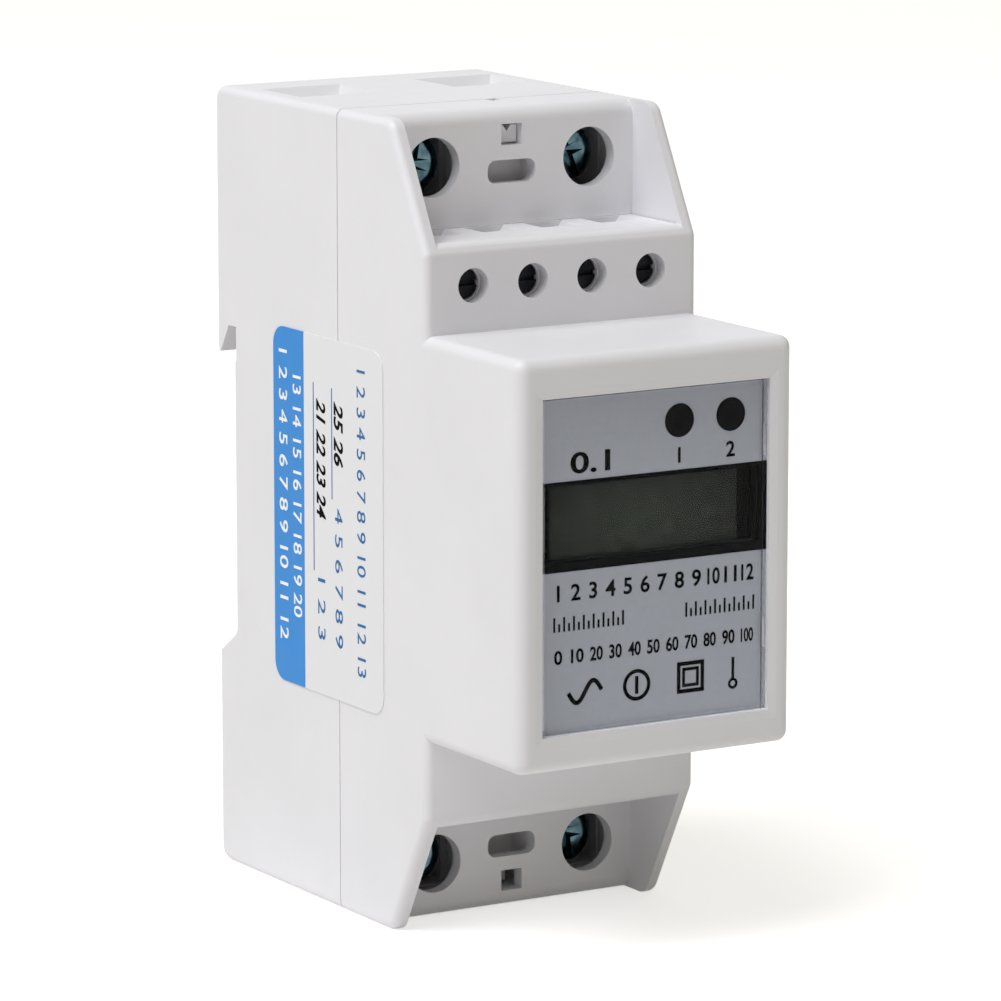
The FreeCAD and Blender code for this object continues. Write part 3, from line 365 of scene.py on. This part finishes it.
finish_of_slot = {
    "housing_plastic": housing_skin,
    "window_clear": clear_polycarbonate(),
    "label_grey": printed_silver_film(),
    "black_plastic": black_moulding,
    "display_glass": display_glass(),
    "contact_rubber": silicone_stripes(),
    "lamp_red": red_epoxy(),
    "circuit_board": solder_mask(),
    "zinc_steel": zinc,
    "dark_screw": dark_zinc,
    "black_screw": black_oxide,
    "capacitor_yellow": yellow_box,
    "can_aluminium": can_skin,
    "disc_ceramic": blue_dip,
    "chip_black": chip_body,
    "bright_steel": bright_wire,
    "tinned_copper": tin,
    "shunt_alloy": manganin,
    "clip_plastic": nylon,
    "sticker_paper": coated_paper(),
}
for part in frame["record"]["subparts"]:
    skin = frame["nodes"][part["node"]].data.materials
    skin.clear()
    skin.append(finish_of_slot[part["material_slot"]])


# Modelling helpers

def deselect():
    bpy.ops.object.select_all(action="DESELECT")


def pick(piece):
    """Makes a piece the only selected one, and the active one."""
    deselect()
    piece.select_set(True)
    bpy.context.view_layer.objects.active = piece


def settle(piece, name, material):
    """Puts a new piece's place in its mesh, and gives it its name and material."""
    pick(piece)
    bpy.ops.object.transform_apply(location=True, rotation=True, scale=True)
    piece.name = name
    piece.data.materials.clear()
    piece.data.materials.append(material)


def joined(pieces):
    """Several pieces made one."""
    pick(pieces[0])
    for piece in pieces:
        piece.select_set(True)
    bpy.ops.object.join()
    return bpy.context.object


def use(piece, kind, **settings):
    """Adds a modifier with its settings and applies it."""
    pick(piece)
    modifier = piece.modifiers.new(kind.lower(), kind)
    for name, value in settings.items():
        setattr(modifier, name, value)
    bpy.ops.object.modifier_apply(modifier=modifier.name)
    return piece


def edit(piece):
    """Enters edit mode on a piece with all of it selected."""
    pick(piece)
    bpy.ops.object.mode_set(mode="EDIT")
    bpy.ops.mesh.select_all(action="SELECT")


def leave():
    bpy.ops.object.mode_set(mode="OBJECT")


# Print

INK = 0.03               # how thick the ink stands, drawn thicker than real so that it shows
SINK = 0.01              # how far a print's rear lies in what carries it
DIGIT_SHARE = 0.72       # a digit's height as a share of its font's size


def lift(piece):
    """Gives a flat print the thickness of its ink, along its own normal."""
    edit(piece)
    bpy.ops.mesh.extrude_region_move(TRANSFORM_OT_translate={"value": (0, 0, (INK + SINK) * MM)})
    leave()
    return piece


def flat_disc(x, y, radius):
    deselect()
    bpy.ops.mesh.primitive_circle_add(vertices=48, radius=radius * MM, fill_type="NGON",
                                      location=(x * MM, y * MM, -SINK * MM))
    return bpy.context.object


def flat_box(x, y, wide, high):
    deselect()
    bpy.ops.mesh.primitive_plane_add(size=1, location=(x * MM, y * MM, -SINK * MM))
    bpy.context.object.scale = (wide * MM, high * MM, 1)
    bpy.ops.object.transform_apply(location=True, rotation=False, scale=True)
    return bpy.context.object


def outlined(piece, line):
    """A printed outline: a flat shape, inset by the width of its line, without its middle."""
    edit(piece)
    bpy.ops.mesh.inset(thickness=line * MM)
    bpy.ops.mesh.delete(type="FACE")
    leave()
    return lift(piece)


def disc(x, y, radius):
    return lift(flat_disc(x, y, radius))


def bar(x, y, wide, high):
    return lift(flat_box(x, y, wide, high))


def ring(x, y, radius, line):
    return outlined(flat_disc(x, y, radius), line)


def square_ring(x, y, size, line):
    return outlined(flat_box(x, y, size, size), line)


def numerals(text, x, y, height, length=0, slant=0.0, weight=0.0):
    """Plain numbers, as tall as given, centred on a point and drawn out to a length where one is given."""
    deselect()
    bpy.ops.object.text_add()
    writing = bpy.context.object
    writing.data.body = text
    writing.data.align_x = "CENTER"
    writing.data.align_y = "CENTER"
    writing.data.size = height / DIGIT_SHARE * MM
    writing.data.shear = slant
    writing.data.offset = weight * MM
    writing.data.resolution_u = 4
    writing.data.extrude = (INK + SINK) / 2 * MM
    bpy.ops.object.convert(target="MESH")
    piece = bpy.context.object
    middle = sum((Vector(corner) for corner in piece.bound_box), Vector()) / 8
    stretch = length * MM / piece.dimensions.x if length else 1.0
    piece.location = (x * MM - middle.x * stretch, y * MM - middle.y, (INK - SINK) / 2 * MM)
    piece.scale = (stretch, 1, 1)
    bpy.ops.object.transform_apply(location=True, rotation=False, scale=True)
    return piece


def number_row(values, first_x, spacing, y, height):
    """Evenly spaced numbers, those of more than one digit fitted to one length."""
    fitted = 1.6
    return [numerals(str(value), first_x + index * spacing, y, height, fitted if value > 9 else 0,
                     weight=0.05) for index, value in enumerate(values)]


def scale_marks(start, end, y, count, tall, short, line):
    """A row of ticks, every second one short, with their lower ends level."""
    step = (end - start) / (count - 1)
    marks = []
    for index in range(count):
        high = short if index % 2 else tall
        marks.append(bar(start + index * step, y + (high - tall) / 2, line, high))
    return marks


def wave_mark(x, y, wide, high, line):
    """A drawn sine wave of one period: a strip of 24 squares, each set square to the curve."""
    deselect()
    bpy.ops.mesh.primitive_grid_add(x_subdivisions=24, y_subdivisions=1, size=1)
    piece = bpy.context.object
    for vertex in piece.data.vertices:
        along = vertex.co.x
        side = vertex.co.y * line
        curve_y = high / 2 * math.sin(2 * math.pi * along)
        turn = math.atan(high / 2 * 2 * math.pi / wide * math.cos(2 * math.pi * along))
        vertex.co = ((x + along * wide - side * math.sin(turn)) * MM,
                     (y + curve_y + side * math.cos(turn)) * MM, -SINK * MM)
    return lift(piece)


def four_bars(outer_x, outer_z, inner_x, inner_z):
    """A printed border: two bars across and two upright, between an outer and an inner rectangle."""
    across = [bar(0, (inner_z[0] + outer_z[0]) / 2, 2 * outer_x, inner_z[0] - outer_z[0]),
              bar(0, (inner_z[1] + outer_z[1]) / 2, 2 * outer_x, outer_z[1] - inner_z[1])]
    upright = [bar(side * (inner_x + outer_x) / 2, sum(inner_z) / 2, outer_x - inner_x,
                   inner_z[1] - inner_z[0]) for side in (-1, 1)]
    return across + upright


def cut_edge(half_x, z, deep):
    """The blackened cut edge round the display's opening: a thin rectangular tube through the label."""
    deselect()
    bpy.ops.mesh.primitive_cube_add(size=1, location=(0, sum(z) / 2 * MM, -deep / 2 * MM))
    piece = bpy.context.object
    piece.scale = (2 * half_x * MM, (z[1] - z[0]) * MM, deep * MM)
    bpy.ops.object.transform_apply(location=True, rotation=False, scale=True)
    edit(piece)
    bpy.ops.mesh.select_mode(type="FACE")
    bpy.ops.mesh.select_all(action="DESELECT")
    leave()
    for face in piece.data.polygons:
        face.select = abs(face.normal.z) > 0.5
    bpy.ops.object.mode_set(mode="EDIT")
    bpy.ops.mesh.delete(type="FACE")
    bpy.ops.mesh.select_mode(type="VERT")
    leave()
    return use(piece, "SOLIDIFY", thickness=0.04 * MM, offset=0)


def on_front(node):
    """Turns a print drawn flat so that it lies on the front face of a node."""
    return Matrix.Translation((0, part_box(node)[0][1], 0)) @ Matrix.Rotation(math.pi / 2, 4, "X")


def onto(pieces, carrier, name, material):
    """Joins prints drawn flat, turns them onto the face that carries them, and hands them over."""
    piece = joined(pieces)
    piece.matrix_world = carrier @ piece.matrix_world
    settle(piece, name, material)
    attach(piece, "housing")


# The label, the display and the sticker

def print_label():
    """The label's marks, and the black border and cut edge round the display's opening."""
    number_line = number_row(range(1, 13), first_x=-11.4, spacing=2.2, y=-3.35, height=1.8)
    scale = [mark for start, end in ((-11.9, -3.2), (4.9, 13.6))
             for mark in scale_marks(start, end, y=-6.75, count=15, tall=1.6, short=0.9, line=0.24)]
    tens_line = number_row(range(0, 101, 10), first_x=-11.4, spacing=2.42, y=-10.35, height=1.5)
    indicators = [disc(3.9, 14.2, radius=1.86), disc(10.5, 14.3, radius=1.86)]
    titles = [numerals("0.1", -7.4, 10.7, height=2.3, length=5.0, weight=0.06),
              numerals("1", 3.9, 10.4, height=1.7, weight=0.05),
              numerals("2", 10.5, 10.5, height=1.7, weight=0.05)]
    circle = [ring(-1.42, -14.4, radius=1.75, line=0.42),
              numerals("1", -1.42, -14.4, height=1.9, weight=0.08)]
    double_square = [square_ring(5.5, -14.25, size=3.5, line=0.45),
                     square_ring(5.5, -14.25, size=2.15, line=0.36)]
    pin = [bar(11.0, -13.9, wide=0.34, high=2.5), ring(11.0, -15.6, radius=0.62, line=0.3)]
    wave = [wave_mark(-8.0, -14.4, wide=4.2, high=2.3, line=0.5)]
    marks = joined(indicators + titles + circle + double_square + pin + wave
                   + number_line + scale + tens_line)
    # The places above are where the photograph shows the marks. The pane refracts each a little off its own.
    left, up = 0.38, 0.1
    marks.location = (marks.location.x - left * MM, marks.location.y + up * MM, marks.location.z)
    border = four_bars(outer_x=14.33, outer_z=(-0.95, 8.9), inner_x=13.85, inner_z=(0.06, 8.46))
    border.append(cut_edge(half_x=13.84, z=(0.07, 8.45), deep=0.4))
    onto([marks] + border, on_front("face_label"), "face_print", black_ink)


def mask_display():
    """The black mask that frames the display glass's field."""
    mask = four_bars(outer_x=14.4, outer_z=(-1.5, 10.0), inner_x=11.96, inner_z=(-0.4, 8.05))
    onto(mask, on_front("lcd_panel"), "display_mask", black_ink)


def side_line(words, forward, top, bottom, height, **style):
    """Numbers that run down the sticker between two heights, this far in front of the rail seat."""
    return numerals(words, -(top + bottom) / 2, forward, height, top - bottom, **style)


def side_rule(forward, top, bottom):
    """A ruled line down the sticker."""
    return bar(-(top + bottom) / 2, forward, wide=top - bottom, high=0.16)


def print_sticker():
    """The sticker's lines, which run down the meter's side with their tops towards the front."""
    face_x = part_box("side_label")[0][0]
    on_side = Matrix(((0, 0, -1, face_x), (0, -1, 0, 0), (-1, 0, 0, 0), (0, 0, 0, 1)))
    white = [side_line("1 2 3 4 5 6 7 8 9 10 11 12", 11.6, top=17.0, bottom=-16.5, height=1.9, weight=0.02),
             side_line("13 14 15 16 17 18 19 20", 14.8, top=14.4, bottom=-13.4, height=1.9, weight=0.02)]
    onto(white, on_side, "sticker_numbers_white", white_ink)
    blue = [side_line("1 2 3 4 5 6 7 8 9 10 11 12 13", 29.4, top=17.0, bottom=-17.7, height=1.9),
            side_line("1 2 3", 20.3, top=-8.0, bottom=-15.0, height=1.7),
            side_line("4 5 6 7 8 9", 24.3, top=0.6, bottom=-15.3, height=1.7),
            side_rule(18.6, top=14.2, bottom=-7.3),
            side_rule(22.8, top=14.1, bottom=1.5)]
    onto(blue, on_side, "sticker_numbers_blue", blue_ink)
    black = [side_line("21 22 23 24", 20.3, top=12.5, bottom=-1.1, height=2.0, slant=0.25, weight=0.06),
             side_line("25 26", 24.3, top=12.7, bottom=5.4, height=2.0, slant=0.25, weight=0.06)]
    onto(black, on_side, "sticker_numbers_black", black_ink)


print_label()
mask_display()
print_sticker()


# Clamp screws

LEFT_TURNED = {1: 80, 2: 112, 3: 72, 4: 98}      # how each screw's head was left turned, in degrees


def select_rims(height):
    """Selects, in edit mode, the edges that lie at one height."""
    micron = 1e-6
    bpy.ops.mesh.select_all(action="DESELECT")
    bpy.ops.mesh.select_mode(type="EDGE")
    leave()
    mesh = bpy.context.object.data
    for edge in mesh.edges:
        edge.select = all(abs(mesh.vertices[i].co.z - height) < micron for i in edge.vertices)
    bpy.ops.object.mode_set(mode="EDIT")


def turned(radius, low, high, bevelled, size, segments):
    """A round bar along Z between two heights, bevelled round the end that is at one of them."""
    deselect()
    bpy.ops.mesh.primitive_cylinder_add(vertices=64, radius=radius * MM, depth=(high - low) * MM,
                                        location=(0, 0, (low + high) / 2 * MM))
    piece = bpy.context.object
    bpy.ops.object.transform_apply(location=True, rotation=False, scale=False)
    edit(piece)
    select_rims(bevelled * MM)
    bpy.ops.mesh.bevel(offset=size * MM, segments=segments)
    leave()
    return piece


def blade_cut(long, wide, deep, taper):
    """The shape that cuts one driver slot into a head whose top is at z = 0, and reaches above it."""
    above = 0.3
    deselect()
    bpy.ops.mesh.primitive_cube_add(size=1, location=(0, 0, (above - deep) / 2 * MM))
    cutter = bpy.context.object
    cutter.scale = (long * MM, wide * MM, (above + deep) * MM)
    bpy.ops.object.transform_apply(location=True, rotation=False, scale=True)
    edit(cutter)
    select_rims(-deep * MM)
    bpy.ops.transform.resize(value=(taper, taper, 1), center_override=(0, 0, -deep * MM))
    leave()
    return cutter


def cut_away(piece, cutter):
    """Cuts one piece's shape out of another, and removes the cutter."""
    use(piece, "BOOLEAN", operation="DIFFERENCE", object=cutter, solver="EXACT")
    bpy.data.objects.remove(cutter)


def helix(section, radius, low, pitch, turns, corners, steps):
    """A closed section swept up the Z axis in a helix, with its ends closed."""
    deselect()
    bpy.ops.mesh.primitive_circle_add(vertices=corners, radius=section * MM,
                                      location=(radius * MM, 0, low * MM), rotation=(math.pi / 2, 0, 0))
    piece = bpy.context.object
    bpy.ops.object.transform_apply(location=True, rotation=True, scale=False)
    use(piece, "SCREW", axis="Z", angle=2 * math.pi, screw_offset=pitch * MM, iterations=turns,
        steps=steps, render_steps=steps, use_smooth_shade=True)
    edit(piece)
    bpy.ops.mesh.fill_holes(sides=corners)
    bpy.ops.mesh.normals_make_consistent(inside=False)
    leave()
    return piece


def smooth(piece):
    """Shades a piece smooth across its blunt edges."""
    pick(piece)
    bpy.ops.object.shade_smooth_by_angle(angle=math.radians(35))
    return piece


def clamp_screw():
    """A pan-headed screw with a slot and a cross in its head, and a rolled thread."""
    head = turned(radius=3.5, low=-2.6, high=0, bevelled=0, size=0.55, segments=4)
    cross = {"long": 5.2, "wide": 1.5, "deep": 1.1, "taper": 0.22}
    cut_away(head, blade_cut(long=8.0, wide=1.2, deep=1.0, taper=1.0))
    cut_away(head, blade_cut(**cross))
    crossing = blade_cut(**cross)
    edit(crossing)
    bpy.ops.transform.rotate(value=math.pi / 2, orient_axis="Z", center_override=(0, 0, 0))
    leave()
    cut_away(head, crossing)
    use(head, "BEVEL", width=0.16 * MM, segments=3, limit_method="ANGLE", angle_limit=math.radians(40))
    core = turned(radius=2.06, low=-14.5, high=-2.5, bevelled=-14.5, size=0.5, segments=1)
    thread = helix(section=0.42, radius=2.02, low=-13.6, pitch=0.8, turns=13, corners=3, steps=24)
    return smooth(joined([head, core, thread]))


def dress_clamp_screws():
    """Puts a dressed screw in the place of each of the four plain ones."""
    pattern = clamp_screw()
    for number, degrees in LEFT_TURNED.items():
        low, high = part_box(f"terminal_screw_{number}")
        piece = pattern.copy()
        piece.data = pattern.data.copy()
        bpy.context.collection.objects.link(piece)
        to_head = Matrix.Translation(((low[0] + high[0]) / 2, low[1], (low[2] + high[2]) / 2))
        to_front = Matrix.Rotation(math.pi / 2, 4, "X")
        turn = Matrix.Rotation(math.radians(degrees), 4, "Z")
        piece.matrix_world = to_head @ to_front @ turn
        settle(piece, f"clamp_screw_dressed_{number}", dark_zinc)
        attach(piece, f"clamp_screw_{number}")
        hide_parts(f"terminal_screw_{number}")
    bpy.data.objects.remove(pattern)


dress_clamp_screws()


# The foot's spring

def wind_foot_spring():
    """The spring that returns the foot, with a closed ring at each end."""
    low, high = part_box("clip_spring")
    wire, coil_radius, turns = 0.25, 1.2, 8
    length = (high[2] - low[2]) / MM
    pieces = [helix(section=wire, radius=coil_radius, low=wire, pitch=(length - 2 * wire) / turns,
                    turns=turns, corners=10, steps=20)]
    for height in (wire, length - wire):
        deselect()
        bpy.ops.mesh.primitive_torus_add(major_radius=coil_radius * MM, minor_radius=wire * MM,
                                         major_segments=32, minor_segments=10, location=(0, 0, height * MM))
        pieces.append(bpy.context.object)
    spring = smooth(joined(pieces))
    spring.matrix_world = Matrix.Translation((0, (low[1] + high[1]) / 2, low[2])) @ spring.matrix_world
    settle(spring, "foot_spring", bright_wire)
    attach(spring, "housing")
    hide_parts("clip_spring")
    # The spring is 10.4 mm long at rest, and 6.4 mm with the foot at its limit.
    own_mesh(spring)


wind_foot_spring()


# Floor and surroundings

def pale_floor():
    """Matt white card; where it is seen directly it also gives a little light, so it shows as white."""
    material, tree, place = blank("matt white card")
    card = add(tree, "ShaderNodeBsdfPrincipled", {"IOR": 1.4, "Roughness": 0.8},
               {"Base Color": tones(tree, place, "#F2F1EF", "#F4F3F1", size_mm=200)})
    strength = add(tree, "ShaderNodeMath", {1: 0.56}, {0: seen_directly(tree)}, operation="MULTIPLY")
    glow = add(tree, "ShaderNodeEmission", links={"Strength": strength.outputs["Value"]})
    close(tree, add(tree, "ShaderNodeAddShader", links={0: card.outputs[0], 1: glow.outputs[0]}))
    return material


def lay_floor():
    """A floor a hair under the meter, so that the two faces don't lie in one plane."""
    gap = 0.02
    deselect()
    bpy.ops.mesh.primitive_plane_add(size=2.4, location=(0, 0, cad_box[0][2] - gap * MM))
    floor = bpy.context.object
    settle(floor, "floor", pale_floor())


def light_surroundings():
    """A faint warm light from all round, which shows as plain white where it is seen directly."""
    world = bpy.data.worlds.new("studio")
    bpy.context.scene.world = world
    world.use_nodes = True
    tree = world.node_tree
    tree.nodes.clear()
    glow = add(tree, "ShaderNodeBackground", {"Color": linear("#FFF7E2"), "Strength": 0.28})
    white = add(tree, "ShaderNodeBackground", {"Color": linear("#FFFFFF"), "Strength": 1.0})
    sky = mixed(tree, seen_directly(tree), glow, white)
    add(tree, "ShaderNodeOutputWorld", links={"Surface": sky.outputs[0]})


lay_floor()
light_surroundings()
